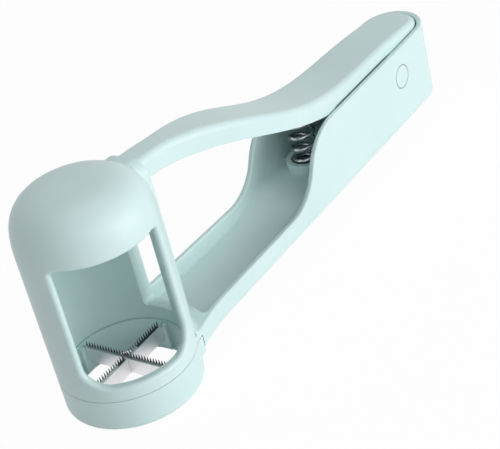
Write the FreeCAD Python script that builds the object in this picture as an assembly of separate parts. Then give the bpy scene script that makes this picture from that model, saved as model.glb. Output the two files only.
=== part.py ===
import FreeCAD, Part
import math
import os

# Grape cutter: a squeeze tool whose lever drives a pusher down through crossed blades.
# Millimetres. The origin is the centre of the blade ring's bottom face, +Z runs up the
# head's axis and +X runs from the head along the handle.

Vector = FreeCAD.Vector
ORIGIN = Vector(0, 0, 0)
UP = Vector(0, 0, 1)
ACROSS = Vector(0, 1, 0)

# Head: sleeve, dome, window and rear slot
HEAD_RADIUS = 18.0
HEAD_WALL = 2.2
HEAD_HEIGHT = 60.4
DOME_HEIGHT = 17.2
DOME_POWER = 3.5
DOME_STEPS = 10
WINDOW_BEARING = 240.0
WINDOW_SIDE = 4.95
WINDOW_SILL = 12.9
WINDOW_DROP = 12.9
WINDOW_LOW_CORNER = 5.0
WINDOW_TOP_CORNER = 1.5
WINDOW_EDGE_ROUND = 1.0
SLOT_SIDE_GAP = 0.4
SLOT_SILL = 13.0
SLOT_CORNER = 1.2
TRACK_WIDTH = 14.0
TRACK_RISE = 1.0
TRACK_DROP = 4.1
TRACK_SHOULDER = 4.6
TRACK_ROUND = 0.6

# Blade ring, clamp ring and blades
RING_HEIGHT = 9.0
RING_LEDGE = 0.6
RING_FOOT_ROUND = 1.4
RING_SEAT_LEVEL = 6.2
RING_NOTCH_WALL = 0.95
EAR_DROP = 0.5
CLAMP_WALL = 1.4
CLAMP_TOP = 9.0
BOSS_REACH = 1.2
BOSS_WIDTH = 3.4
BOSS_BOTTOM = 1.0
BOSS_TOP = 8.7
BLADE_THICKNESS = 0.55
BLADE_BOTTOM = 4.2
BLADE_TIPS = 10.4
TOOTH_HEIGHT = 1.1
TOOTH_COUNT = 30
TOOTH_END_GAP = 1.6
TAIL_LENGTH = 2.4
TAIL_TOP = 7.9

# Handle: root, channel, side walls and closed rear
ROOT_X = 15.0
ROOT_WIDTH = 24.6
END_X = 139.5
END_RADIUS = 9.7
HANDLE_BOTTOM = 4.9
HANDLE_WALL = 1.6
BOTTOM_ROUND = 1.5
RIM_ROUND = 0.5
RIM_RISE_X = 126.0
RIM_RISE_RADIUS = 300.0
WEB_TOP = 10.9
WALL_TOP = 28.1
RISE_X = 62.4
RISE_ANGLE = 62.0
RISE_LOW_RADIUS = 14.0
RISE_HIGH_RADIUS = 15.3
CHANNEL_HEAD_GAP = 4.0
CHANNEL_FLOOR = 6.5
CHANNEL_CORNER = 1.2
REAR_FLOOR = 11.8
FLOOR_RISE_X = 56.0
FLOOR_RISE_RADIUS = 30.0
FLARE_BEARING = 58.0
FLARE_SPLIT_SETBACK = 4.6
FLARE_SPLIT_SHARE = 0.654
FLARE_MID_REACH = 1.5
FLARE_MID_SHARE = 0.261
FLARE_REACH = 12.0
HEAD_FILLET = 1.6
HEAD_FILLET_SETBACK = 1.5

# Spring cup and return spring
CUP_X = 87.4
CUP_RADIUS = 6.0
CUP_FOOT_RADIUS = 5.6
CUP_RIM = 14.8
CUP_BORE = 4.5
CUP_FLOOR = 6.9
CUP_RIM_ROUND = 0.3
SPRING_RADIUS = 3.45
SPRING_WIRE = 1.25
SPRING_PITCH = 3.5
SPRING_END_PITCH = 1.9
SPRING_SEAT_GAP = 0.15

# Lever
LEVER_GAP = 0.25
LEVER_SIDE_GAP = 0.38
BAR_DROP = 4.3
BAR_DEPTH = 5.6
REAR_TOP = 29.5
LOW_UNDER = 24.4
# Heights as shares of the way up from the rear to the bar's tip
LEVER_TOP = (
    (30.0, 0.925), (46.0, 0.778), (62.0, 0.541), (78.0, 0.278), (94.0, 0.124), (112.0, 0.083),
    (126.0, 0.068), (136.0, 0.041))
LEVER_UNDER = (
    (22.5, 0.958), (30.0, 0.908), (46.0, 0.755), (62.0, 0.521), (78.0, 0.268), (92.0, 0.107), (106.0, 0.0))
LEVER_FLARE = ((38.0, 5.5), (46.0, 7.0), (54.0, 8.35), (62.0, 9.05))
BAR_WIDTH = 8.4
BAR_TIP_REACH = 2.0
BAR_NOSE_ROUND = 1.6
BAR_FLARE_X = 28.0
LEVER_FULL_X = 74.0
LEVER_ROUND = 1.8
TAIL_UNDER = 23.6
LEVER_SKIN = 2.2
LEVER_SIDE_WALL = 2.0
HOLLOW_START_X = 60.0
HOLLOW_END_X = 108.0
SPIGOT_RADIUS = 2.3
SPIGOT_LENGTH = 2.2

# Pivot
PIVOT_X = 126.9
PIVOT_Z = 19.6
PIN_RADIUS = 2.0
CAP_RADIUS = 3.45
CAP_DEPTH = 0.8
HUB_RADIUS = 6.2

# Pusher and link pin
PUSHER_RING_GAP = 1.6
PUSHER_DROP = 14.2
PUSHER_PLATE = 3.0
PUSHER_ROUND = 0.6
GROOVE_WIDTH = 2.4
GROOVE_DEPTH = 1.8
LUG_THICKNESS = 1.4
LUG_START_X = 0.4
LUG_SETBACK = 1.0
LUG_DROP = 5.0
RIB_THICKNESS = 1.6
RIB_HEIGHT = 3.0
RIB_SETBACK = 2.7
LINK_SETBACK = 3.0
LINK_DROP = 8.1
LINK_RADIUS = 1.25
LINK_TRAVEL_X = 4.45
LINK_PLAY = 0.3
LINK_RISE = 0.085

# Fits
RUNNING_FIT = 0.05
PRESS_FIT = 0.02
SEAM = 0.15
SLIDE_GAP = 0.3
RING_FIT = 0.1

# Worked out from the sizes above
DOME_BASE = HEAD_HEIGHT - DOME_HEIGHT
HEAD_BORE = HEAD_RADIUS - HEAD_WALL
WINDOW_HEAD = HEAD_HEIGHT - WINDOW_DROP
TRACK_X = HEAD_RADIUS + TRACK_RISE
FLARE_SPLIT_X = HEAD_RADIUS - FLARE_SPLIT_SETBACK
FLARE_MID_X = HEAD_RADIUS + FLARE_MID_REACH
FLARE_END_X = HEAD_RADIUS + FLARE_REACH
TRACK_TOP = HEAD_HEIGHT - TRACK_DROP
HOUSING_BASE = RING_HEIGHT + SEAM
RING_BORE = HEAD_BORE - RING_LEDGE
TOOTHED_HALF = RING_BORE - TOOTH_END_GAP
CLAMP_RADIUS = RING_BORE + CLAMP_WALL
SEAT_RADIUS = CLAMP_RADIUS + RUNNING_FIT
NOTCH_RADIUS = SEAT_RADIUS + RING_NOTCH_WALL
PUSHER_RADIUS = RING_BORE - PUSHER_RING_GAP
PUSHER_FACE = HEAD_HEIGHT - PUSHER_DROP
PUSHER_TOP = PUSHER_FACE + PUSHER_PLATE
LUG_END_X = PUSHER_RADIUS - LUG_SETBACK
LUG_TOP = HEAD_HEIGHT - LUG_DROP
RIB_TOP = PUSHER_TOP + RIB_HEIGHT
RIB_REACH = PUSHER_RADIUS - RIB_SETBACK
LINK_X = LUG_END_X - LINK_SETBACK
LINK_Z = HEAD_HEIGHT - LINK_DROP
BAR_TIP_X = LINK_X - BAR_TIP_REACH
BAR_TOP = HEAD_HEIGHT - BAR_DROP
BAR_UNDER = BAR_TOP - BAR_DEPTH
SLOT_WIDTH = BAR_WIDTH + 2 * SLOT_SIDE_GAP
TAIL_X = END_X + END_RADIUS - HANDLE_WALL - LEVER_SIDE_GAP
TAPER_REACH = math.hypot(ROOT_WIDTH / 2, END_X - ROOT_X)
TAPER = math.asin(ROOT_WIDTH / 2 / TAPER_REACH) - math.asin(END_RADIUS / TAPER_REACH)
FAR = 200.0


# Plain helpers
def line(start, end):
    return Part.LineSegment(start, end).toShape()


def arc(start, middle, end):
    return Part.Arc(start, middle, end).toShape()


def smooth(points, start_way, end_way):
    curve = Part.BSplineCurve()
    curve.interpolate(Points=points, InitialTangent=start_way, FinalTangent=end_way)
    return curve.toShape()


def chain(points):
    return [line(a, b) for a, b in zip(points, points[1:])]


def face(edges):
    return Part.Face(Part.Wire(edges))


def turned(edges):
    return face(edges).revolve(ORIGIN, UP, 360)


def box(low_x, high_x, half_y, low_z, high_z):
    corner = Vector(low_x, -half_y, low_z)
    return Part.makeBox(high_x - low_x, 2 * half_y, high_z - low_z, corner)


def drum(radius, low_z, high_z, x=0.0):
    return Part.makeCylinder(radius, high_z - low_z, Vector(x, 0, low_z))


def across_drum(radius, low_y, high_y):
    return Part.makeCylinder(radius, high_y - low_y, Vector(PIVOT_X, low_y, PIVOT_Z), ACROSS)


def quarter(centre, radius, from_deg, to_deg, place):
    middle = (from_deg + to_deg) / 2
    ends = []
    for angle in (from_deg, middle, to_deg):
        turn = math.radians(angle)
        ends.append(place(centre[0] + radius * math.cos(turn), centre[1] + radius * math.sin(turn)))
    return arc(*ends)


def side(x, z):
    return Vector(x, 0, z)


def yz(y, z):
    return Vector(0, y, z)


def widened(edges, half_width=FAR):
    profile = face(edges)
    profile.translate(Vector(0, -half_width, 0))
    return profile.extrude(Vector(0, 2 * half_width, 0))


def deepened(edges, low_z=-FAR, high_z=FAR):
    profile = face(edges)
    profile.translate(Vector(0, 0, low_z))
    return profile.extrude(Vector(0, 0, high_z - low_z))


def mirrored(edge):
    return edge.mirror(ORIGIN, ACROSS)


def lies_flat(edge, level):
    return abs(edge.BoundBox.ZMin - level) < 0.01 and abs(edge.BoundBox.ZMax - level) < 0.01


def runs_along(edge):
    return edge.BoundBox.YLength < 0.01


def rounded(solid, radius, wanted):
    edges = [edge for edge in solid.Edges if wanted(edge)]
    return solid.makeFillet(radius, edges)


# Head
def dome_edge(radius, height):
    points = []
    for step in range(DOME_STEPS + 1):
        turn = math.pi / 2 * step / DOME_STEPS
        out = max(math.cos(turn), 0.0) ** (2 / DOME_POWER)
        rise = math.sin(turn) ** (2 / DOME_POWER)
        points.append(side(radius * out, DOME_BASE + height * rise))
    return smooth(points, UP, Vector(-1, 0, 0))


def domed(radius, height, base):
    top = side(0, DOME_BASE + height)
    edges = chain([top, side(0, base), side(radius, base), side(radius, DOME_BASE)])
    return turned(edges + [dome_edge(radius, height)])


def window_cut():
    half = HEAD_RADIUS - WINDOW_SIDE
    low = WINDOW_LOW_CORNER
    top = WINDOW_TOP_CORNER
    edges = [
        line(side(-half + low, WINDOW_SILL), side(half - low, WINDOW_SILL)),
        quarter((half - low, WINDOW_SILL + low), low, 270, 360, side),
        line(side(half, WINDOW_SILL + low), side(half, WINDOW_HEAD - top)),
        quarter((half - top, WINDOW_HEAD - top), top, 0, 90, side),
        line(side(half - top, WINDOW_HEAD), side(-half + top, WINDOW_HEAD)),
        quarter((-half + top, WINDOW_HEAD - top), top, 90, 180, side),
        line(side(-half, WINDOW_HEAD - top), side(-half, WINDOW_SILL + low)),
        quarter((-half + low, WINDOW_SILL + low), low, 180, 270, side),
    ]
    cut = face(edges).extrude(Vector(0, 2 * HEAD_RADIUS, 0))
    cut.rotate(ORIGIN, UP, WINDOW_BEARING - 90)
    return cut


def slot_cut():
    start = HEAD_BORE / 2
    end = TRACK_X + 1
    edges = chain([
        side(start, SLOT_SILL),
        side(end, SLOT_SILL),
        side(end, bar_top(end) + LEVER_GAP),
        side(start, bar_top(start) + LEVER_GAP),
        side(start, SLOT_SILL),
    ])
    cut = widened(edges, SLOT_WIDTH / 2)
    return rounded(cut, SLOT_CORNER, lambda edge: lies_flat(edge, SLOT_SILL) and runs_along(edge))


def rear_track():
    # Flat strip behind the sleeve, from the web to an arched top above the slot
    half = TRACK_WIDTH / 2
    corner = TRACK_SHOULDER
    edges = [
        line(yz(-half, WEB_TOP), yz(half, WEB_TOP)),
        line(yz(half, WEB_TOP), yz(half, TRACK_TOP - corner)),
        quarter((half - corner, TRACK_TOP - corner), corner, 0, 90, yz),
        line(yz(half - corner, TRACK_TOP), yz(-half + corner, TRACK_TOP)),
        quarter((-half + corner, TRACK_TOP - corner), corner, 90, 180, yz),
        line(yz(-half, TRACK_TOP - corner), yz(-half, WEB_TOP)),
    ]
    track = face(edges).extrude(Vector(TRACK_X, 0, 0))
    return rounded(track, TRACK_ROUND, lambda edge: edge.BoundBox.XMin > TRACK_X - 0.01)


def on_window_rim(edge):
    box_of = edge.BoundBox
    if box_of.ZMin < WINDOW_SILL - 0.1 or box_of.ZMin > WINDOW_HEAD - 2 * WINDOW_TOP_CORNER:
        return False
    if box_of.ZMax > WINDOW_HEAD + 0.1 or edge.Length < 0.5:
        return False
    middle = edge.valueAt((edge.FirstParameter + edge.LastParameter) / 2)
    bearing = math.radians(WINDOW_BEARING)
    facing = middle.x * math.cos(bearing) + middle.y * math.sin(bearing)
    return facing > 0 and math.hypot(middle.x, middle.y) > HEAD_RADIUS - 0.5


# Handle outline in plan
def half_width(x, inset=0.0):
    return (END_RADIUS - inset) / math.cos(TAPER) + (END_X - x) * math.tan(TAPER)


def rear_edges(inset, from_x):
    radius = END_RADIUS - inset
    tangent = Vector(END_X + radius * math.sin(TAPER), -radius * math.cos(TAPER), 0)
    start = Vector(from_x, -half_width(from_x, inset), 0)
    straight = line(start, tangent)
    turn = arc(tangent, Vector(END_X + radius, 0, 0), Vector(tangent.x, -tangent.y, 0))
    return [straight, turn, mirrored(straight)]


def taper_way():
    return Vector(math.cos(TAPER), math.sin(TAPER), 0)


def flare_start():
    bearing = math.radians(FLARE_BEARING)
    return Vector(HEAD_RADIUS * math.cos(bearing), -HEAD_RADIUS * math.sin(bearing), 0)


def flare_point(x, share, inset=0.0):
    # The flare stands out from the plain taper by a share of its greatest width
    leave = flare_start()
    standing = share * (-leave.y - half_width(leave.x))
    return Vector(x, inset - half_width(x) - standing, 0)


def handle_plan():
    bearing = math.radians(FLARE_BEARING)
    leave = flare_start()
    leave_way = Vector(math.sin(bearing), math.cos(bearing), 0)
    points = [
        leave,
        flare_point(FLARE_SPLIT_X, FLARE_SPLIT_SHARE),
        flare_point(FLARE_MID_X, FLARE_MID_SHARE),
        Vector(FLARE_END_X, -half_width(FLARE_END_X), 0),
    ]
    flare = smooth(points, leave_way, taper_way())
    closing = line(Vector(leave.x, -leave.y, 0), leave)
    return [flare] + rear_edges(0.0, FLARE_END_X) + [mirrored(flare), closing]


def channel_plan():
    start = flare_point(FLARE_SPLIT_X, FLARE_SPLIT_SHARE, HANDLE_WALL)
    points = [
        start,
        flare_point(FLARE_MID_X, FLARE_MID_SHARE, HANDLE_WALL),
        Vector(FLARE_END_X, -half_width(FLARE_END_X, HANDLE_WALL), 0),
    ]
    flare = smooth(points, Vector(1, 0.25, 0), taper_way())
    closing = line(Vector(start.x, -start.y, 0), start)
    return [flare] + rear_edges(HANDLE_WALL, FLARE_END_X) + [mirrored(flare), closing]


# Handle outline from the side
def wall_profile():
    angle = math.radians(RISE_ANGLE)
    low_end_z = WEB_TOP + RISE_LOW_RADIUS * (1 - math.cos(angle))
    low_end = side(RISE_X + RISE_LOW_RADIUS * math.sin(angle), low_end_z)
    high_start_z = WALL_TOP - RISE_HIGH_RADIUS * (1 - math.cos(angle))
    high_start = side(low_end.x + (high_start_z - low_end.z) / math.tan(angle), high_start_z)
    high_end_x = high_start.x + RISE_HIGH_RADIUS * math.sin(angle)
    low_turn = quarter((RISE_X, WEB_TOP + RISE_LOW_RADIUS), RISE_LOW_RADIUS, 270, 270 + RISE_ANGLE, side)
    high_centre = (high_end_x, WALL_TOP - RISE_HIGH_RADIUS)
    high_turn = quarter(high_centre, RISE_HIGH_RADIUS, 90 + RISE_ANGLE, 90, side)
    rim = line(side(high_end_x, WALL_TOP), side(RIM_RISE_X, WALL_TOP))
    end_x = END_X + END_RADIUS + 1
    turn = math.asin((end_x - RIM_RISE_X) / RIM_RISE_RADIUS)
    end_z = WALL_TOP + RIM_RISE_RADIUS * (1 - math.cos(turn))
    rim_centre = (RIM_RISE_X, WALL_TOP + RIM_RISE_RADIUS)
    rim_turn = quarter(rim_centre, RIM_RISE_RADIUS, 270, 270 + math.degrees(turn), side)
    around = chain([
        side(end_x, end_z),
        side(end_x, HANDLE_BOTTOM),
        side(0, HANDLE_BOTTOM),
        side(0, WEB_TOP),
        side(RISE_X, WEB_TOP),
    ])
    return [low_turn, line(low_end, high_start), high_turn, rim, rim_turn] + around


def floor_profile():
    rise = REAR_FLOOR - CHANNEL_FLOOR
    turn = math.degrees(math.acos(1 - rise / (2 * FLOOR_RISE_RADIUS)))
    end_x = FLOOR_RISE_X + 2 * FLOOR_RISE_RADIUS * math.sin(math.radians(turn))
    low_centre = (FLOOR_RISE_X, CHANNEL_FLOOR + FLOOR_RISE_RADIUS)
    low_turn = quarter(low_centre, FLOOR_RISE_RADIUS, 270, 270 + turn, side)
    high_turn = quarter((end_x, REAR_FLOOR - FLOOR_RISE_RADIUS), FLOOR_RISE_RADIUS, 90 + turn, 90, side)
    around = chain([
        side(end_x, REAR_FLOOR),
        side(FAR, REAR_FLOOR),
        side(FAR, FAR),
        side(0, FAR),
        side(0, CHANNEL_FLOOR),
        side(FLOOR_RISE_X, CHANNEL_FLOOR),
    ])
    return [low_turn, high_turn] + around


def handle_block():
    block = deepened(handle_plan()).common(widened(wall_profile()))
    on_foot = lambda edge: lies_flat(edge, HANDLE_BOTTOM) and edge.BoundBox.XMax > ROOT_X
    return rounded(block, BOTTOM_ROUND, on_foot).removeSplitter()


def channel_space():
    space = deepened(channel_plan()).common(widened(floor_profile()))
    space = space.cut(drum(HEAD_RADIUS + CHANNEL_HEAD_GAP, -1, FAR))
    space = rounded(space, CHANNEL_CORNER, channel_upright)
    return rounded(space, CHANNEL_CORNER * 0.8, lambda edge: edge.BoundBox.ZMax < REAR_FLOOR + 0.01)


def channel_upright(edge):
    extent = edge.BoundBox
    return extent.ZLength > 20 and FLARE_SPLIT_X < extent.XMin and extent.XMax < FLARE_END_X


def on_wall_rim(edge):
    # Upper edges of the side walls, inside and outside, behind the low front part
    extent = edge.BoundBox
    return extent.ZMin > WALL_TOP - 0.01 and extent.XMin > RISE_X and extent.XMax > PIVOT_X


# Housing
def head_fillet():
    outer = HEAD_RADIUS + HEAD_FILLET
    edges = [
        quarter((outer, WEB_TOP + HEAD_FILLET), HEAD_FILLET, 180, 270, side),
        line(side(outer, WEB_TOP), side(HEAD_RADIUS - 1, WEB_TOP)),
        line(side(HEAD_RADIUS - 1, WEB_TOP), side(HEAD_RADIUS - 1, WEB_TOP + HEAD_FILLET)),
        line(side(HEAD_RADIUS - 1, WEB_TOP + HEAD_FILLET), side(HEAD_RADIUS, WEB_TOP + HEAD_FILLET)),
    ]
    skirt = turned(edges).common(deepened(handle_plan()))
    return skirt.common(box(flare_start().x + HEAD_FILLET_SETBACK, FAR, FAR, 0, FAR))


def wall_face_y():
    return half_width(PIVOT_X)


def pin_seats():
    reach = wall_face_y()
    shape = across_drum(PIN_RADIUS + PRESS_FIT, -2 * reach, 2 * reach)
    for low, high in ((-2 * reach, -reach + CAP_DEPTH), (reach - CAP_DEPTH, 2 * reach)):
        shape = shape.fuse(across_drum(CAP_RADIUS + SEAM, low, high))
    return shape


def spring_cup():
    height = CUP_RIM - CHANNEL_FLOOR
    cup = Part.makeCone(CUP_FOOT_RADIUS, CUP_RADIUS, height, Vector(CUP_X, 0, CHANNEL_FLOOR))
    return rounded(cup, CUP_RIM_ROUND, lambda edge: edge.BoundBox.ZMin > CUP_RIM - 0.01)


def housing():
    root = handle_block()
    root = root.cut(box(0, FLARE_SPLIT_X + SEAM, FAR, 0, HOUSING_BASE))
    root = root.cut(drum(NOTCH_RADIUS + RING_FIT, 0, HOUSING_BASE))
    shell = domed(HEAD_RADIUS, DOME_HEIGHT, HOUSING_BASE).fuse([root, head_fillet(), rear_track()])
    shell = shell.cut(channel_space())
    shell = shell.fuse(spring_cup())
    shell = shell.cut(drum(CUP_BORE, CUP_FLOOR, CUP_RIM + 1, CUP_X))
    shell = shell.cut([domed(HEAD_BORE, DOME_HEIGHT - HEAD_WALL, 0.0), pin_seats()])
    shell = shell.cut(window_cut())
    shell = shell.removeSplitter()
    shell = rounded(shell, WINDOW_EDGE_ROUND, on_window_rim)
    shell = rounded(shell, RIM_ROUND, on_wall_rim)
    return shell.cut(slot_cut())


# Blade ring with its clamp ring and blades
def ring_body():
    foot = RING_FOOT_ROUND
    edges = [quarter((HEAD_RADIUS - foot, foot), foot, 270, 360, side)]
    edges += chain([
        side(HEAD_RADIUS, foot),
        side(HEAD_RADIUS, RING_HEIGHT),
        side(SEAT_RADIUS, RING_HEIGHT),
        side(SEAT_RADIUS, RING_SEAT_LEVEL),
        side(RING_BORE, RING_SEAT_LEVEL),
        side(RING_BORE, 0),
        side(HEAD_RADIUS - foot, 0),
    ])
    return turned(edges)


def blade_pockets(low_z, high_z):
    reach = TOOTHED_HALF + TAIL_LENGTH + RUNNING_FIT
    half = BLADE_THICKNESS / 2 + RUNNING_FIT
    return box(-reach, reach, half, low_z, high_z).fuse(box(-half, half, reach, low_z, high_z))


def blade_bosses(low_z, high_z):
    band = drum(RING_BORE + CLAMP_WALL / 2, low_z, high_z).cut(drum(RING_BORE - BOSS_REACH, 0, FAR))
    along = box(-FAR, FAR, BOSS_WIDTH / 2, 0, FAR)
    over = box(-BOSS_WIDTH / 2, BOSS_WIDTH / 2, FAR, 0, FAR)
    return band.common(along.fuse(over))


def blade_ring():
    ears = deepened(handle_plan(), HANDLE_BOTTOM - EAR_DROP, RING_HEIGHT)
    ears = ears.common(box(0, FLARE_SPLIT_X - SEAM, FAR, 0, RING_HEIGHT))
    ears = ears.cut(drum(HEAD_RADIUS - 1, 0, RING_HEIGHT))
    ring = ring_body().fuse([ears, blade_bosses(BOSS_BOTTOM, RING_SEAT_LEVEL)])
    notch = box(FLARE_SPLIT_X - SEAM, 2 * HEAD_RADIUS, FAR, HANDLE_BOTTOM - SEAM, RING_HEIGHT + 1)
    ring = ring.cut(notch.cut(drum(NOTCH_RADIUS, 0, FAR)))
    return ring.cut(blade_pockets(BLADE_BOTTOM, RING_SEAT_LEVEL + 1))


def clamp_ring():
    edges = chain([
        side(RING_BORE, RING_SEAT_LEVEL),
        side(CLAMP_RADIUS, RING_SEAT_LEVEL),
        side(CLAMP_RADIUS, CLAMP_TOP),
        side(RING_BORE, CLAMP_TOP),
        side(RING_BORE, RING_SEAT_LEVEL),
    ])
    ring = turned(edges)
    ring = ring.fuse(blade_bosses(RING_SEAT_LEVEL, BOSS_TOP))
    ring = ring.cut(blade_pockets(RING_SEAT_LEVEL - 1, TAIL_TOP + RUNNING_FIT))
    bite = blade_pockets(TAIL_TOP, FAR).common(drum(RING_BORE - PRESS_FIT, 0, FAR))
    return ring.cut(bite).removeSplitter()


def blade(lap_from_top):
    half = TOOTHED_HALF
    root = BLADE_TIPS - TOOTH_HEIGHT
    pitch = 2 * half / TOOTH_COUNT
    points = [side(half + TAIL_LENGTH, TAIL_TOP), side(half + TAIL_LENGTH, BLADE_BOTTOM)]
    points += [side(-half - TAIL_LENGTH, BLADE_BOTTOM), side(-half - TAIL_LENGTH, TAIL_TOP)]
    points.append(side(-half, TAIL_TOP))
    for tooth in range(TOOTH_COUNT):
        start = -half + tooth * pitch
        points += [side(start, root), side(start + pitch / 2, BLADE_TIPS)]
    points += [side(half, root), side(half, TAIL_TOP), side(half + TAIL_LENGTH, TAIL_TOP)]
    strip = widened(chain(points), BLADE_THICKNESS / 2)
    lap = (BLADE_BOTTOM + root) / 2
    slot_half = BLADE_THICKNESS / 2 + RUNNING_FIT
    if lap_from_top:
        strip = strip.cut(box(-slot_half, slot_half, 1, lap - PRESS_FIT, FAR))
        strip.rotate(ORIGIN, UP, 90)
        return strip
    return strip.cut(box(-slot_half, slot_half, 1, 0, lap + PRESS_FIT))


# Lever
def lever_plan(inset=0.0):
    gap = HANDLE_WALL + LEVER_SIDE_GAP
    tip = BAR_TIP_X
    half = BAR_WIDTH / 2
    points = [Vector(BAR_FLARE_X, -half, 0)]
    points += [Vector(x, -y, 0) for x, y in LEVER_FLARE]
    points.append(Vector(LEVER_FULL_X, -half_width(LEVER_FULL_X, gap), 0))
    flare = smooth(points, Vector(1, 0, 0), taper_way())
    bar = line(Vector(tip, -half, 0), points[0])
    nose = line(Vector(tip, half, 0), Vector(tip, -half, 0))
    return [bar, flare] + rear_edges(gap, LEVER_FULL_X) + [mirrored(flare), mirrored(bar), nose]


def between(shares, low, high):
    return [side(x, low + share * (high - low)) for x, share in shares]


def top_edge(drop=0.0):
    points = [side(BAR_TIP_X, BAR_TOP)] + between(LEVER_TOP, REAR_TOP, BAR_TOP) + [side(TAIL_X, REAR_TOP)]
    edge = smooth(points, Vector(1, 0, -0.07), Vector(1, 0, -0.11))
    edge.translate(Vector(0, 0, -drop))
    return edge


def bar_top(x):
    return at_x(top_edge(), x)


def at_x(edge, x):
    post = line(side(x, 0), side(x, FAR))
    return edge.distToShape(post)[1][0][0].z


def touch_point(point, upper):
    # Where a line from the point touches the hub
    away = math.hypot(point.x - PIVOT_X, point.z - PIVOT_Z)
    heading = math.atan2(point.z - PIVOT_Z, point.x - PIVOT_X)
    swing = math.acos(HUB_RADIUS / away)
    angle = heading + (swing if upper else -swing)
    return angle, side(PIVOT_X + HUB_RADIUS * math.cos(angle), PIVOT_Z + HUB_RADIUS * math.sin(angle))


def lever_profile():
    tail = side(TAIL_X, TAIL_UNDER)
    under = between(LEVER_UNDER, LOW_UNDER, BAR_UNDER)
    rear_angle, rear_touch = touch_point(tail, False)
    front_angle, front_touch = touch_point(under[-1], True)
    low_angle = (rear_angle + front_angle - 2 * math.pi) / 2
    low = side(PIVOT_X + HUB_RADIUS * math.cos(low_angle), PIVOT_Z + HUB_RADIUS * math.sin(low_angle))
    tip_low = side(BAR_TIP_X, BAR_UNDER)
    return [
        top_edge(),
        line(side(TAIL_X, REAR_TOP), tail),
        line(tail, rear_touch),
        arc(rear_touch, low, front_touch),
        line(front_touch, under[-1]),
        smooth(under[::-1], Vector(-1, 0, 0.2), Vector(-1, 0, 0.15)),
        line(under[0], tip_low),
        line(tip_low, side(BAR_TIP_X, BAR_TOP)),
    ]


def hollow():
    skin = top_edge(LEVER_SKIN)
    low = CUP_RIM
    start = skin.valueAt(skin.FirstParameter)
    end = skin.valueAt(skin.LastParameter)
    sides = chain([end, side(end.x, low), side(start.x, low), start])
    under_skin = widened([skin] + sides)
    gap = HANDLE_WALL + LEVER_SIDE_GAP + LEVER_SIDE_WALL
    low_y = half_width(HOLLOW_START_X, gap)
    plan = chain([
        Vector(HOLLOW_START_X, -low_y, 0),
        Vector(HOLLOW_END_X, -half_width(HOLLOW_END_X, gap), 0),
        Vector(HOLLOW_END_X, half_width(HOLLOW_END_X, gap), 0),
        Vector(HOLLOW_START_X, low_y, 0),
        Vector(HOLLOW_START_X, -low_y, 0),
    ])
    space = rounded(deepened(plan), LEVER_SIDE_WALL, lambda edge: edge.BoundBox.ZLength > 1)
    return space.common(under_skin)


def ceiling_at(x):
    return at_x(top_edge(LEVER_SKIN), x)


def seat_slope():
    reach = SPRING_RADIUS
    return (ceiling_at(CUP_X + reach) - ceiling_at(CUP_X - reach)) / (2 * reach)


def spigot():
    slope = seat_slope()
    down = Vector(slope, 0, -1).normalize()
    top = side(CUP_X, ceiling_at(CUP_X)) - down * LEVER_SKIN / 2
    return Part.makeCylinder(SPIGOT_RADIUS, SPIGOT_LENGTH + LEVER_SKIN / 2, top, down)


def on_bar_nose(edge, level):
    return edge.BoundBox.XMax < BAR_TIP_X + 0.01 and lies_flat(edge, level)


def on_lever_top(edge):
    # Edges where the side faces meet the top
    extent = edge.BoundBox
    if extent.YMin < 0 < extent.YMax:
        return False
    middle = edge.valueAt((edge.FirstParameter + edge.LastParameter) / 2)
    return extent.XLength > 1 and abs(middle.z - bar_top(middle.x)) < 0.3


def lever():
    body = deepened(lever_plan()).common(widened(lever_profile()))
    body = rounded(body, LEVER_ROUND, on_lever_top)
    body = rounded(body, BAR_NOSE_ROUND, lambda edge: on_bar_nose(edge, BAR_UNDER))
    body = body.cut(hollow()).fuse(spigot())
    body = body.cut(link_drum(LINK_RADIUS + PRESS_FIT, FAR))
    return body.cut(across_drum(PIN_RADIUS + RUNNING_FIT, -FAR, FAR)).removeSplitter()


# Pivot pin and its caps
def pin_end_y():
    return wall_face_y() - CAP_DEPTH


def pivot_pin():
    reach = pin_end_y() - PRESS_FIT
    return across_drum(PIN_RADIUS, -reach, reach)


def pin_cap(way):
    cap = across_drum(CAP_RADIUS, pin_end_y(), 2 * wall_face_y())
    cap = cap.common(deepened(handle_plan()))
    return cap if way > 0 else cap.mirror(ORIGIN, ACROSS)


# Pusher and its link pin
def link_drum(radius, half_length):
    start = Vector(LINK_X, -half_length, LINK_Z)
    return Part.makeCylinder(radius, 2 * half_length, start, ACROSS)


def lug_inner():
    return BAR_WIDTH / 2 + LEVER_GAP


def link_pin():
    return link_drum(LINK_RADIUS, lug_inner() + LUG_THICKNESS)


def link_slot():
    high = LINK_Z + LINK_RISE
    radius = LINK_RADIUS + LINK_PLAY
    start = LINK_X - LINK_TRAVEL_X
    edges = [
        line(side(start, high - radius), side(LINK_X, high - radius)),
        quarter((LINK_X, high), radius, 270, 450, side),
        line(side(LINK_X, high + radius), side(start, high + radius)),
        quarter((start, high), radius, 90, 270, side),
    ]
    return widened(edges)


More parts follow.
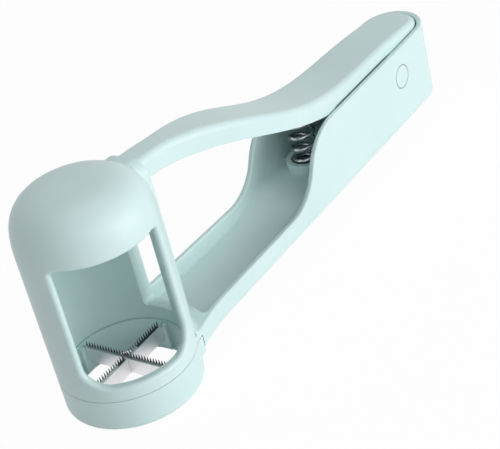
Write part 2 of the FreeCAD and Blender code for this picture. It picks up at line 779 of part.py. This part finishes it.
def pusher():
    edges = chain([
        side(0, PUSHER_FACE),
        side(PUSHER_RADIUS - PUSHER_ROUND, PUSHER_FACE),
        side(PUSHER_RADIUS, PUSHER_FACE + PUSHER_ROUND),
        side(PUSHER_RADIUS, PUSHER_TOP),
        side(0, PUSHER_TOP),
        side(0, PUSHER_FACE),
    ])
    disc = turned(edges)
    outer = lug_inner() + LUG_THICKNESS
    lugs = box(LUG_START_X, LUG_END_X, outer, PUSHER_TOP - 1, LUG_TOP)
    lugs = lugs.cut(box(0, FAR, lug_inner(), PUSHER_TOP, FAR))
    lugs = lugs.common(domed(HEAD_BORE - SLIDE_GAP, DOME_HEIGHT - HEAD_WALL - SLIDE_GAP, 0.0))
    lugs = lugs.cut(link_slot())
    rib_end = LUG_START_X + RIB_THICKNESS
    spine = box(-RIB_REACH, rib_end, RIB_THICKNESS / 2, PUSHER_TOP - 1, RIB_TOP)
    yard = box(LUG_START_X, rib_end, RIB_REACH, PUSHER_TOP - 1, RIB_TOP)
    body = disc.fuse([lugs, spine, yard])
    along = box(-FAR, FAR, GROOVE_WIDTH / 2, 0, PUSHER_FACE + GROOVE_DEPTH)
    over = box(-GROOVE_WIDTH / 2, GROOVE_WIDTH / 2, FAR, 0, PUSHER_FACE + GROOVE_DEPTH)
    return body.cut([along, over]).removeSplitter()


# Return spring
def spring_turns():
    low = CUP_FLOOR + SPRING_WIRE / 2 + SPRING_SEAT_GAP
    slope = seat_slope()
    drop = (SPRING_WIRE / 2 + SPRING_SEAT_GAP) * math.hypot(1, slope)
    high = ceiling_at(CUP_X) - drop
    middle_turns = (high - low - 2 * SPRING_END_PITCH) / SPRING_PITCH
    return low, high, slope, middle_turns + 2


def spring_point(turn, low, high, slope, turns):
    # Height climbs slowly in the first and last turn, and each turn leans towards the seat's slope
    if turn < 1:
        rise = SPRING_END_PITCH * turn
    elif turn < turns - 1:
        rise = SPRING_END_PITCH + SPRING_PITCH * (turn - 1)
    else:
        rise = high - low - SPRING_END_PITCH * (turns - turn)
    share = rise / (high - low)
    angle = 2 * math.pi * turn
    out = SPRING_RADIUS * math.cos(angle)
    return Vector(CUP_X + out, SPRING_RADIUS * math.sin(angle), low + rise + out * slope * share)


def biarc(start, start_way, end, end_way):
    span = end - start
    a = 2 - 2 * start_way.dot(end_way)
    b = span.dot(start_way + end_way)
    reach = (math.sqrt(b * b + a * span.dot(span)) - b) / a
    first_corner = start + start_way * reach
    last_corner = end - end_way * reach
    joint = (first_corner + last_corner) * 0.5
    return [arc_round(start, first_corner, joint), arc_round(joint, last_corner, end)]


def arc_round(start, corner, end):
    chord_middle = (start + end) * 0.5
    half_chord = (end - start).Length / 2
    turn = math.acos(min(1.0, half_chord / (corner - start).Length))
    share = math.tan(turn / 2) / math.tan(turn)
    return arc(start, chord_middle + (corner - chord_middle) * share, end)


def return_spring():
    low, high, slope, turns = spring_turns()
    place = lambda turn: spring_point(turn, low, high, slope, turns)
    step = turns / round(turns * 4)
    knots = [place(step * index) for index in range(round(turns * 4) + 1)]
    ways = []
    for index in range(len(knots)):
        turn = step * index
        before = place(max(turn - 0.01, 0))
        after = place(min(turn + 0.01, turns))
        ways.append((after - before).normalize())
    edges = []
    for index in range(len(knots) - 1):
        edges += biarc(knots[index], ways[index], knots[index + 1], ways[index + 1])
    path = Part.Wire(edges)
    section = Part.Wire(Part.makeCircle(SPRING_WIRE / 2, knots[0], ways[0]))
    coil = path.makePipeShell([section], True, False)
    points = [place(turns * index / 600) for index in range(601)]
    apart = int(600 / turns * 0.6)
    least = min((a - b).Length for i, a in enumerate(points) for b in points[i + apart:])
    print("return_spring: turns %.2f, least gap to itself %.2f mm" % (turns, least - SPRING_WIRE))
    return coil


NODES = {
    "housing": housing,
    "lever": lever,
    "pusher": pusher,
    "link_pin": link_pin,
    "pivot_pin": pivot_pin,
    "pin_cap_left": lambda: pin_cap(-1),
    "pin_cap_right": lambda: pin_cap(1),
    "return_spring": return_spring,
    "blade_ring": blade_ring,
    "clamp_ring": clamp_ring,
    "blade_long": lambda: blade(False),
    "blade_cross": lambda: blade(True),
}


def main():
    os.makedirs("parts", exist_ok=True)
    for name, build in NODES.items():
        shape = build()
        solids = shape.Solids
        shape = solids[0] if len(solids) == 1 else Part.makeCompound(solids)
        shape.exportStep("parts/%s.step" % name)
        extent = shape.optimalBoundingBox(False)
        print("%-14s solids %d valid %s volume %.0f x %.1f..%.1f y %.1f..%.1f z %.1f..%.1f" % (
            name, len(solids), shape.isValid(), shape.Volume, extent.XMin, extent.XMax,
            extent.YMin, extent.YMax, extent.ZMin, extent.ZMax))


main()
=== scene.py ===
import math

import bmesh
import bpy
from mathutils import Matrix, Vector


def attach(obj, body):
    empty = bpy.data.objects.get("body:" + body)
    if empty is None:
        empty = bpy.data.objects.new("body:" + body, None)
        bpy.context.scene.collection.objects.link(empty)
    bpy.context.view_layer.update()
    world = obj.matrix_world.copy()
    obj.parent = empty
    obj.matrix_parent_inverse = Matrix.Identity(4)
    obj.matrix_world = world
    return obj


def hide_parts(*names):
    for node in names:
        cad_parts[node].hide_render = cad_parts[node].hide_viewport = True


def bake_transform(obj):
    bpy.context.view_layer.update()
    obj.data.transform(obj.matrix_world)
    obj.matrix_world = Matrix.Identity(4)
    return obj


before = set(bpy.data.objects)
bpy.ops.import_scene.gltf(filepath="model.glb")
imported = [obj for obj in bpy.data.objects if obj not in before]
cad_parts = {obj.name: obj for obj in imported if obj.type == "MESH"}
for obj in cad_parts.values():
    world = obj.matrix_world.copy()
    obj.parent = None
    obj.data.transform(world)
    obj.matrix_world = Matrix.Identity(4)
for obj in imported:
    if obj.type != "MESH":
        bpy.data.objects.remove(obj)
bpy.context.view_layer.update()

# Spring, in metres, seated in the handle's cup and under the lever
CUP_X = 0.0874
SPRING_LOW = 0.007675
SPRING_RADIUS = 0.00345
SPRING_WIRE = 0.00125
SPRING_PITCH = 0.0035
SPRING_END_PITCH = 0.0019
SPRING_MIDDLE_TURNS = 5.5946
SPRING_LEAN = -0.2361
# How finely the coil and its wire are drawn
POINTS_PER_TURN = 40
WIRE_SIDES = 20

# Blades, in metres: a strip with tails that the ring clamps, lapped half and half in the middle
BLADE_THICKNESS = 0.00055
BLADE_BOTTOM = 0.0042
LAP_LEVEL = 0.00675
TAIL_LEVEL = 0.0079
BEVEL_LEVEL = 0.0085
ROOT_LEVEL = 0.0090
TIP_LEVEL = 0.0104
EDGE_THICKNESS = 0.0001
TOOTHED_HALF = 0.0136
TAIL_END = 0.0160
LAP_HALF = 0.000325
TOOTH_COUNT = 30
# Shares of one tooth's pitch
ROOT_SHARE = 0.52
TIP_SHARE = 0.08

# Where a blade's bevel is dark, as stretches along it in metres, and how dark the bevel is there. The
# darkness is partly the ground finish and partly painted reflection.
LONG_PAINTED_STRETCHES = ((-0.0046, -0.0003), (0.0035, 0.0137))
CROSS_PAINTED_STRETCHES = ((-0.0137, 0.0137),)
LONG_BEVEL_PAINTED_DARK = 0.95
CROSS_BEVEL_PAINTED_DARK = 0.55
STRETCH_FADE = 0.0012
LEVEL_FADE = 0.0003

# Where close gaps are painted as dark lines of shadow, in metres, and how dark the lines are
WALL_TOP = 0.0281
RIM_START_X = 0.0925
RIM_START_FADE = 0.003
RIM_LINE_TOP = (0.0003, -0.0002)
RIM_LINE_FOOT = (-0.0020, -0.0014)
RIM_SHADOW_DARK = 0.8
PIVOT_X = 0.1269
PIVOT_Z = 0.0196
PIVOT_FADE = 0.006
CAP_RADIUS = 0.00345
CAP_LINE_START = 0.00022
CAP_LINE_FULL = 0.00008
CAP_SHADOW_DARK = 0.62

# Moulded skin: how fine each pattern is, and how high it stands in metres
CLOUD_FINENESS = 38.0
GRAIN_FINENESS = 2600.0
SINK_FINENESS = 70.0
GRAIN_HEIGHT = 0.000006
SINK_HEIGHT = 0.00003
BRUSHED_HEIGHT = 0.00001

# Colours, linear
MINT = (0.630, 0.800, 0.795)
MINT_SHADE = (0.605, 0.780, 0.772)
STEEL = (0.94, 0.93, 0.95)
STEEL_SHADE = (0.82, 0.81, 0.83)
# Dark ground steel, also used for the painted reflection on the blades' bevels and teeth
STEEL_DARK = (0.05, 0.06, 0.065)
PIN_SHADE = (0.62, 0.63, 0.65)
WIRE = (0.52, 0.53, 0.55)
WIRE_SHADE = (0.38, 0.39, 0.41)
# Painted shadow colour for close gaps
GAP_SHADOW_PAINT = (0.10, 0.14, 0.14)
WHITE = (1.0, 1.0, 1.0, 1.0)
PAPER = (0.93, 0.94, 0.94)

# Floor, surroundings and lamps: each lamp's spot, width and height in metres, and its watts
FLOOR_REACH = 3.0
FLOOR_GLOW = 0.96
WORLD_FILL = 0.32
LAMP_TARGET = (0.06, 0.0, 0.025)
LAMPS = {
    "key_panel": ((0.27, -0.85, 0.12), 0.7, 0.5, 6.1),
    "left_panel": ((-0.80, -0.40, 0.30), 0.5, 0.5, 0.1),
    "front_panel": ((-0.30, -0.60, 0.42), 0.5, 0.4, 0.75),
    "dome_panel": ((0.22, -0.79, 0.60), 0.22, 0.22, 0.6),
    "top_panel": ((0.10, 0.15, 0.90), 0.6, 0.6, 1.4),
}

# Camera fitted to the photograph, its eye in metres. The turn is an axis times its angle in
# radians, and takes the part's directions to right, down and forward in the picture.
FOCAL_PX = 1595.7
PHOTO_WIDTH_PX = 500
SENSOR_MM = 36.0
TURN = Vector((1.827, -1.114, 0.349))
EYE = Vector((-0.2185, -0.2455, 0.2371))


# Node trees
class Value:
    """A socket that can be used in Python sums."""

    def __init__(self, tree, socket):
        self.tree = tree
        self.socket = socket

    def join(self, operation, first, second=0.0):
        return self.tree.node("ShaderNodeMath", {"operation": operation}, {0: first, 1: second})

    def __add__(self, other):
        return self.join("ADD", self, other)

    def __radd__(self, other):
        return self.join("ADD", other, self)

    def __sub__(self, other):
        return self.join("SUBTRACT", self, other)

    def __rsub__(self, other):
        return self.join("SUBTRACT", other, self)

    def __mul__(self, other):
        return self.join("MULTIPLY", self, other)

    def __rmul__(self, other):
        return self.join("MULTIPLY", other, self)

    def __truediv__(self, other):
        return self.join("DIVIDE", self, other)

    def __pow__(self, other):
        return self.join("POWER", self, other)

    def __abs__(self):
        return self.join("ABSOLUTE", self)

    def least(self, other):
        return self.join("MINIMUM", self, other)

    def most(self, other):
        return self.join("MAXIMUM", self, other)

    def sine(self):
        return self.join("SINE", self)

    def cosine(self):
        return self.join("COSINE", self)


class Tree:
    """A node tree that is filled one node at a time."""

    def __init__(self, group):
        self.group = group

    def node(self, kind, settings=None, inputs=None, output=0):
        made = self.group.nodes.new(kind)
        for name, value in (settings or {}).items():
            setattr(made, name, value)
        for name, value in (inputs or {}).items():
            socket = made.inputs[name]
            if isinstance(value, Value):
                self.group.links.new(value.socket, socket)
            else:
                socket.default_value = value
        return Value(self, made.outputs[output]) if len(made.outputs) else made

    def place(self):
        return self.node("ShaderNodeTexCoord", output="Object")

    def stretched(self, scale, shift):
        inputs = {"Vector": self.place(), "Scale": scale, "Location": shift}
        return self.node("ShaderNodeMapping", inputs=inputs)

    def part(self, vector, axis):
        return self.node("ShaderNodeSeparateXYZ", inputs={0: vector}, output=axis)

    def noise(self, scale, detail=2.0, stretch=(1.0, 1.0, 1.0), shift=(0.0, 0.0, 0.0)):
        inputs = {"Vector": self.stretched(stretch, shift), "Scale": scale, "Detail": detail}
        return self.node("ShaderNodeTexNoise", inputs=inputs)

    def between(self, value, low, high):
        inputs = {"Value": value, "From Min": low, "From Max": high}
        return self.node("ShaderNodeMapRange", {"interpolation_type": "SMOOTHSTEP"}, inputs)

    def tinted(self, mask, first, second):
        # A Mix node has a set of sockets for each kind of value: 6 and 7 in, and 2 out, are its colours
        inputs = {0: mask}
        for socket, shade in ((6, first), (7, second)):
            inputs[socket] = shade if isinstance(shade, Value) else (*shade, 1.0)
        return self.node("ShaderNodeMix", {"data_type": "RGBA"}, inputs, output=2)

    def spot(self, x, y, z):
        return self.node("ShaderNodeCombineXYZ", inputs={0: x, 1: y, 2: z})

    def raised(self, height):
        return self.node("ShaderNodeBump", inputs={"Height": height, "Distance": 1.0, "Strength": 1.0})


def finish(name, recipe, **fixed):
    material = bpy.data.materials.new(name)
    material.use_nodes = True
    tree = Tree(material.node_tree)
    shader = material.node_tree.nodes["Principled BSDF"]
    for socket, value in fixed.items():
        shader.inputs[socket.replace("_", " ")].default_value = value
    for socket, value in recipe(tree).items():
        material.node_tree.links.new(value.socket, shader.inputs[socket])
    return material


# Finishes
def moulded(colour, shade, seed, painted_shadow=None):
    # Satin moulded plastic: faint cloudiness, fine spark-eroded grain and long soft sink waves.
    # A painted shadow darkens the colour where a close gap or a pressed edge stays in shadow.
    def recipe(tree):
        shift = (seed, 2 * seed, 3 * seed)
        cloud = tree.noise(CLOUD_FINENESS, shift=shift)
        grain = tree.noise(GRAIN_FINENESS, shift=shift)
        waves = tree.noise(SINK_FINENESS, 1.0, (1.0, 1.0, 0.6), shift)
        skin = tree.tinted(tree.between(cloud, 0.3, 0.7), colour, shade)
        return {
            "Base Color": tree.tinted(painted_shadow(tree), skin, GAP_SHADOW_PAINT) if painted_shadow else skin,
            "Roughness": 0.34 + 0.08 * cloud + 0.05 * grain,
            "Normal": tree.raised(grain * GRAIN_HEIGHT + waves * SINK_HEIGHT),
        }
    return recipe


def painted_rim_shadow(tree):
    # Painted shadow on the lever's sides, just under the handle wall's rim that they sit behind. Behind the
    # pivot the sides rise out of the handle when the lever is pressed, so the painted shadow ends there.
    along = tree.part(tree.place(), 0)
    above = tree.part(tree.place(), 2) - WALL_TOP
    facing = tree.node("ShaderNodeTexCoord", output="Normal")
    upright = tree.between(abs(tree.part(facing, 2)), 0.75, 0.45)
    band = tree.between(above, *RIM_LINE_TOP) * tree.between(above, *RIM_LINE_FOOT)
    ahead = tree.between(along, PIVOT_X, PIVOT_X - PIVOT_FADE)
    begun = tree.between(along, RIM_START_X, RIM_START_X + RIM_START_FADE)
    return band * upright * ahead * begun * RIM_SHADOW_DARK


def painted_cap_shadow(tree):
    # Painted shadow: the thin dark line round a pressed-in cap, where its close gap stays in shade
    along = tree.part(tree.place(), 0) - PIVOT_X
    height = tree.part(tree.place(), 2) - PIVOT_Z
    reach = (along * along + height * height) ** 0.5
    return tree.between(reach, CAP_RADIUS - CAP_LINE_START, CAP_RADIUS - CAP_LINE_FULL) * CAP_SHADOW_DARK


def ground_blade(along_axis, stretches, bevel_painted_dark):
    # Brushed flanks and dark teeth, and under the teeth a ground bevel that is dark in stretches. That
    # darkness, and the teeth's extra darkness in the same stretches, is partly the ground finish and partly
    # painted reflection.
    def recipe(tree):
        place = tree.place()
        height = tree.part(place, 2)
        along = tree.part(place, along_axis)
        brushed = tree.noise(1.0, 3.0, (60.0, 60.0, 5200.0))
        cloudy = tree.noise(90.0)
        painted_stretch = 0.0
        for start, end in stretches:
            begun = tree.between(along, start, start + STRETCH_FADE)
            painted_stretch = begun * tree.between(along, end, end - STRETCH_FADE) + painted_stretch
        bevel = tree.between(height, BEVEL_LEVEL, BEVEL_LEVEL + LEVEL_FADE) * painted_stretch * bevel_painted_dark
        teeth = tree.between(height, ROOT_LEVEL, ROOT_LEVEL + LEVEL_FADE) * (0.66 + 0.28 * painted_stretch)
        dark = bevel.most(teeth)
        return {
            "Base Color": tree.tinted(dark, tree.tinted(cloudy, STEEL, STEEL_SHADE), STEEL_DARK),
            "Roughness": 0.30 + 0.14 * brushed + 0.12 * dark,
            "Normal": tree.raised(brushed * BRUSHED_HEIGHT),
        }
    return recipe


def drawn_wire(tree):
    streaks = tree.noise(900.0, stretch=(1.0, 1.0, 3.0))
    return {
        "Base Color": tree.tinted(streaks, WIRE, WIRE_SHADE),
        "Roughness": 0.16 + 0.14 * streaks,
    }


def ground_pin(tree):
    rings = tree.noise(1.0, stretch=(300.0, 3000.0, 300.0))
    return {
        "Base Color": tree.tinted(rings, STEEL, PIN_SHADE),
        "Roughness": 0.22 + 0.16 * rings,
    }


PLASTIC = {"Specular_IOR_Level": 0.45, "IOR": 1.49}
METAL = {"Metallic": 1.0}
finishes = {
    "housing": finish("mint_housing", moulded(MINT, MINT_SHADE, 0.1), **PLASTIC),
    # The lever carries a painted shadow under the handle wall's rim
    "lever": finish("mint_lever", moulded(MINT, MINT_SHADE, 0.4, painted_rim_shadow), **PLASTIC),
    "pusher": finish("mint_pusher", moulded(MINT, MINT_SHADE, 0.7), **PLASTIC),
    "blade_ring": finish("mint_ring", moulded(MINT, MINT_SHADE, 1.1), **PLASTIC),
    "clamp_ring": finish("mint_clamp", moulded(MINT, MINT_SHADE, 1.5), **PLASTIC),
    # The caps carry a painted shadow line round their edge
    "pin_cap_left": finish("mint_cap_left", moulded(MINT, MINT_SHADE, 1.9, painted_cap_shadow), **PLASTIC),
    "pin_cap_right": finish("mint_cap_right", moulded(MINT, MINT_SHADE, 2.3, painted_cap_shadow), **PLASTIC),
    "link_pin": finish("link_pin_steel", ground_pin, **METAL),
    "pivot_pin": finish("pivot_pin_steel", ground_pin, **METAL),
}
for node, material in finishes.items():
    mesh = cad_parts[node].data
    mesh.materials.clear()
    mesh.materials.append(material)


# Meshes from geometry trees
def opened(name, sockets):
    # A geometry tree with these inputs, and the inputs by their names
    group = bpy.data.node_groups.new(name, "GeometryNodeTree")
    for title, kind in sockets.items():
        group.interface.new_socket(title, in_out="INPUT", socket_type="NodeSocket" + kind)
    group.interface.new_socket("Geometry", in_out="OUTPUT", socket_type="NodeSocketGeometry")
    tree = Tree(group)
    ask = group.nodes.new("NodeGroupInput")
    return tree, {socket.name: Value(tree, socket) for socket in ask.outputs if socket.name}


def closed(tree, shape, material):
    # The shape as one plain mesh in its material, handed out by the tree
    whole = tree.node("GeometryNodeRealizeInstances", inputs={"Geometry": shape})
    faced = tree.node("GeometryNodeSetMaterial", inputs={"Geometry": whole, "Material": material})
    reply = tree.group.nodes.new("NodeGroupOutput")
    tree.group.links.new(faced.socket, reply.inputs[0])
    return tree.group


def grown(name, group, sizes, start=None):
    # A plain mesh from a geometry tree with its inputs set
    seed = bpy.data.objects.new(name + "_seed", start or bpy.data.meshes.new(name + "_seed"))
    bpy.context.scene.collection.objects.link(seed)
    modifier = seed.modifiers.new("shape", "NODES")
    modifier.node_group = group
    for socket in group.interface.items_tree:
        if socket.in_out == "INPUT" and socket.name in sizes:
            modifier[socket.identifier] = sizes[socket.name]
    bpy.context.view_layer.update()
    shaped = seed.evaluated_get(bpy.context.evaluated_depsgraph_get())
    mesh = bpy.data.meshes.new_from_object(shaped)
    bpy.data.objects.remove(seed)
    piece = bpy.data.objects.new(name, mesh)
    bpy.context.scene.collection.objects.link(piece)
    return piece


# Blades
def strip(lapped_from_top):
    # Cells along the strip and up it, closed where a cell has no neighbour
    breaks = (-TAIL_END, -TOOTHED_HALF, -LAP_HALF, LAP_HALF, TOOTHED_HALF, TAIL_END)
    levels = (BLADE_BOTTOM, LAP_LEVEL, TAIL_LEVEL, BEVEL_LEVEL, ROOT_LEVEL)
    columns = range(len(breaks) - 1)
    rows = range(len(levels) - 1)
    tails = (columns[0], columns[-1])
    lap = breaks.index(-LAP_HALF)

    def filled(column, row):
        if column not in columns or row not in rows:
            return False
        if column in tails:
            return levels[row] < TAIL_LEVEL
        if column == lap:
            return (levels[row] < LAP_LEVEL) == lapped_from_top
        return True

    def corner(column, row, back):
        across = BLADE_THICKNESS / 2
        if not back:
            across -= face_depth(levels[row])
        return breaks[column], across, levels[row]

    corners = []
    faces = []

    def add(*spots):
        faces.append([len(corners) + index for index in range(len(spots))])
        corners.extend(corner(*spot) for spot in spots)

    for column in columns:
        for row in rows:
            if not filled(column, row):
                continue
            right, above = column + 1, row + 1
            add((column, row, 0), (right, row, 0), (right, above, 0), (column, above, 0))
            add((column, row, 1), (column, above, 1), (right, above, 1), (right, row, 1))
            if not filled(column, row - 1):
                add((column, row, 0), (column, row, 1), (right, row, 1), (right, row, 0))
            if not filled(column, above):
                add((column, above, 0), (right, above, 0), (right, above, 1), (column, above, 1))
            if not filled(column - 1, row):
                add((column, row, 0), (column, above, 0), (column, above, 1), (column, row, 1))
            if not filled(right, row):
                add((right, row, 0), (right, row, 1), (right, above, 1), (right, above, 0))
    mesh = bpy.data.meshes.new("strip")
    mesh.from_pydata(corners, [], faces)
    shape = bmesh.new()
    shape.from_mesh(mesh)
    bmesh.ops.remove_doubles(shape, verts=shape.verts, dist=1e-7)
    bmesh.ops.recalc_face_normals(shape, faces=shape.faces)
    shape.to_mesh(mesh)
    shape.free()
    return mesh


def face_depth(level):
    # The strip's thickness at a level: full below the ground bevel, a thin edge at the tips
    ground = max(level - BEVEL_LEVEL, 0.0) / (TIP_LEVEL - BEVEL_LEVEL)
    return BLADE_THICKNESS - ground * (BLADE_THICKNESS - EDGE_THICKNESS)


def teeth_tree(material):
    # Adds a row of ground teeth to a strip, and turns the blade about the upright axis
    lengths = ("Pitch", "Root", "Tip", "Root depth", "Tip depth", "Back", "Turn")
    tree, size = opened("teeth", {"Strip": "Geometry", "Teeth": "Int"} | dict.fromkeys(lengths, "Float"))
    block = tree.node("GeometryNodeMeshCube", inputs={"Size": (1.0, 1.0, 1.0)})
    corner = tree.node("GeometryNodeInputPosition")
    up = tree.part(corner, 2) + 0.5
    width = size["Pitch"] * (ROOT_SHARE - (ROOT_SHARE - TIP_SHARE) * up)
    depth = size["Root depth"] + (size["Tip depth"] - size["Root depth"]) * up
    across = size["Back"] - depth * (0.5 - tree.part(corner, 1))
    level = size["Root"] + (size["Tip"] - size["Root"]) * up
    spot = tree.spot(tree.part(corner, 0) * width, across, level)
    tooth = tree.node("GeometryNodeSetPosition", inputs={"Geometry": block, "Position": spot})
    start = tree.spot(size["Pitch"] * (size["Teeth"] - 1) * -0.5, 0.0, 0.0)
    step = tree.spot(size["Pitch"], 0.0, 0.0)
    row = {"Count": size["Teeth"], "Start Location": start, "Offset": step}
    places = tree.node("GeometryNodeMeshLine", inputs=row)
    teeth = tree.node("GeometryNodeInstanceOnPoints", inputs={"Points": places, "Instance": tooth})
    both = tree.node("GeometryNodeJoinGeometry", inputs={0: size["Strip"]})
    tree.group.links.new(teeth.socket, both.socket.node.inputs[0])
    way = tree.spot(0.0, 0.0, size["Turn"])
    turned = tree.node("GeometryNodeTransform", inputs={"Geometry": both, "Rotation": way})
    return closed(tree, turned, material)


# Each blade's bevel darkness in its stretches is partly ground finish and partly painted reflection
blades = (
    ("blade_long", False, 0.0, ground_blade(0, LONG_PAINTED_STRETCHES, LONG_BEVEL_PAINTED_DARK)),
    ("blade_cross", True, -math.pi / 2, ground_blade(1, CROSS_PAINTED_STRETCHES, CROSS_BEVEL_PAINTED_DARK)),
)
for node, lapped_from_top, turn, recipe in blades:
    steel = finish(node + "_steel", recipe, **METAL)
    blade = grown("toothed_" + node, teeth_tree(steel), {
        "Teeth": TOOTH_COUNT,
        "Pitch": 2 * TOOTHED_HALF / TOOTH_COUNT,
        "Root": ROOT_LEVEL,
        "Tip": TIP_LEVEL,
        "Root depth": face_depth(ROOT_LEVEL),
        "Tip depth": EDGE_THICKNESS,
        "Back": BLADE_THICKNESS / 2,
        "Turn": turn,
    }, strip(lapped_from_top))
    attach(blade, "blade_ring")
    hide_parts(node)


# Return spring
def coil_tree(material):
    lengths = ("Turns", "Radius", "Wire", "Pitch", "End pitch", "Low", "High", "Lean")
    tree, size = opened("coil", dict.fromkeys(lengths, "Float"))
    points = size["Turns"] * POINTS_PER_TURN + 1
    bare = tree.node("GeometryNodeCurvePrimitiveLine")
    knots = tree.node("GeometryNodeResampleCurve", {"mode": "COUNT"}, {"Curve": bare, "Count": points})
    turn = tree.node("GeometryNodeInputIndex") / POINTS_PER_TURN
    first = turn.least(1.0) * size["End pitch"]
    last = (turn - (size["Turns"] - 1)).most(0.0) * size["End pitch"]
    middle = (turn - 1).most(0.0).least(size["Turns"] - 2) * size["Pitch"]
    rise = first + middle + last
    angle = turn * (2 * math.pi)
    out = angle.cosine() * size["Radius"]
    aside = angle.sine() * size["Radius"]
    lean = out * size["Lean"] * rise / (size["High"] - size["Low"])
    spot = tree.spot(out + CUP_X, aside, size["Low"] + rise + lean)
    path = tree.node("GeometryNodeSetPosition", inputs={"Geometry": knots, "Position": spot})
    round_wire = {"Resolution": WIRE_SIDES, "Radius": size["Wire"] / 2}
    ring = tree.node("GeometryNodeCurvePrimitiveCircle", inputs=round_wire)
    sweep = {"Curve": path, "Profile Curve": ring, "Fill Caps": True}
    tube = tree.node("GeometryNodeCurveToMesh", inputs=sweep)
    smooth = tree.node("GeometryNodeSetShadeSmooth", inputs={"Geometry": tube})
    return closed(tree, smooth, material)


wire = finish("spring_wire", drawn_wire, **METAL)
spring_high = SPRING_LOW + 2 * SPRING_END_PITCH + SPRING_MIDDLE_TURNS * SPRING_PITCH
spring = grown("coil_spring", coil_tree(wire), {
    "Turns": SPRING_MIDDLE_TURNS + 2,
    "Radius": SPRING_RADIUS,
    "Wire": SPRING_WIRE,
    "Pitch": SPRING_PITCH,
    "End pitch": SPRING_END_PITCH,
    "Low": SPRING_LOW,
    "High": spring_high,
    "Lean": SPRING_LEAN,
})
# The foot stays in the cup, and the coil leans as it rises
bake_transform(spring)
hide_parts("return_spring")


# Stage, light and camera
def looked_at(tree):
    # 1 for rays from the camera, directly or by way of a mirror or a clear piece
    path = tree.group.nodes.new("ShaderNodeLightPath")
    seen, glossy, through = (
        Value(tree, path.outputs[name]) for name in ("Is Camera Ray", "Is Glossy Ray", "Is Transmission Ray"))
    return seen.most(glossy).most(through)


def plain_floor():
    mesh = bpy.data.meshes.new("floor")
    signs = ((-1, -1), (1, -1), (1, 1), (-1, 1))
    mesh.from_pydata([(x * FLOOR_REACH, y * FLOOR_REACH, 0) for x, y in signs], [], [(0, 1, 2, 3)])
    floor = bpy.data.objects.new("floor", mesh)
    bpy.context.scene.collection.objects.link(floor)
    material = bpy.data.materials.new("floor_paper")
    material.use_nodes = True
    material.node_tree.nodes.clear()
    tree = Tree(material.node_tree)
    paper = tree.node("ShaderNodeBsdfDiffuse", inputs={"Color": (*PAPER, 1.0)})
    glow = tree.node("ShaderNodeEmission", inputs={"Color": WHITE})
    mixed = tree.node("ShaderNodeMixShader", inputs={0: looked_at(tree) * FLOOR_GLOW, 1: paper, 2: glow})
    tree.node("ShaderNodeOutputMaterial", inputs={"Surface": mixed})
    mesh.materials.append(material)


def panel(name, spot, width, height, power):
    light = bpy.data.lights.new(name, "AREA")
    light.shape = "RECTANGLE"
    light.size = width
    light.size_y = height
    light.energy = power
    lamp = bpy.data.objects.new(name, light)
    way = Vector(LAMP_TARGET) - Vector(spot)
    lamp.matrix_world = Matrix.Translation(spot) @ way.to_track_quat("-Z", "Y").to_matrix().to_4x4()
    bpy.context.scene.collection.objects.link(lamp)


def surround():
    world = bpy.data.worlds.new("studio")
    bpy.context.scene.world = world
    world.use_nodes = True
    tree = Tree(world.node_tree)
    strength = WORLD_FILL + (1 - WORLD_FILL) * looked_at(tree)
    ground = world.node_tree.nodes["Background"]
    ground.inputs["Color"].default_value = WHITE
    world.node_tree.links.new(strength.socket, ground.inputs["Strength"])


def photo_camera():
    lens = bpy.data.cameras.new("photo_camera")
    lens.sensor_width = SENSOR_MM
    lens.lens = FOCAL_PX * SENSOR_MM / PHOTO_WIDTH_PX
    lens.clip_start = 0.01
    lens.clip_end = 20.0
    camera = bpy.data.objects.new("photo_camera", lens)
    to_view = Matrix.Rotation(TURN.length, 3, TURN.normalized())
    flip = Matrix.Diagonal((1.0, -1.0, -1.0))
    camera.matrix_world = Matrix.Translation(EYE) @ (flip @ to_view).transposed().to_4x4()
    bpy.context.scene.collection.objects.link(camera)
    bpy.context.scene.camera = camera


plain_floor()
for lamp_name, (spot, width, height, power) in LAMPS.items():
    panel(lamp_name, spot, width, height, power)
surround()
photo_camera()
bpy.context.scene.view_settings.view_transform = "Standard"
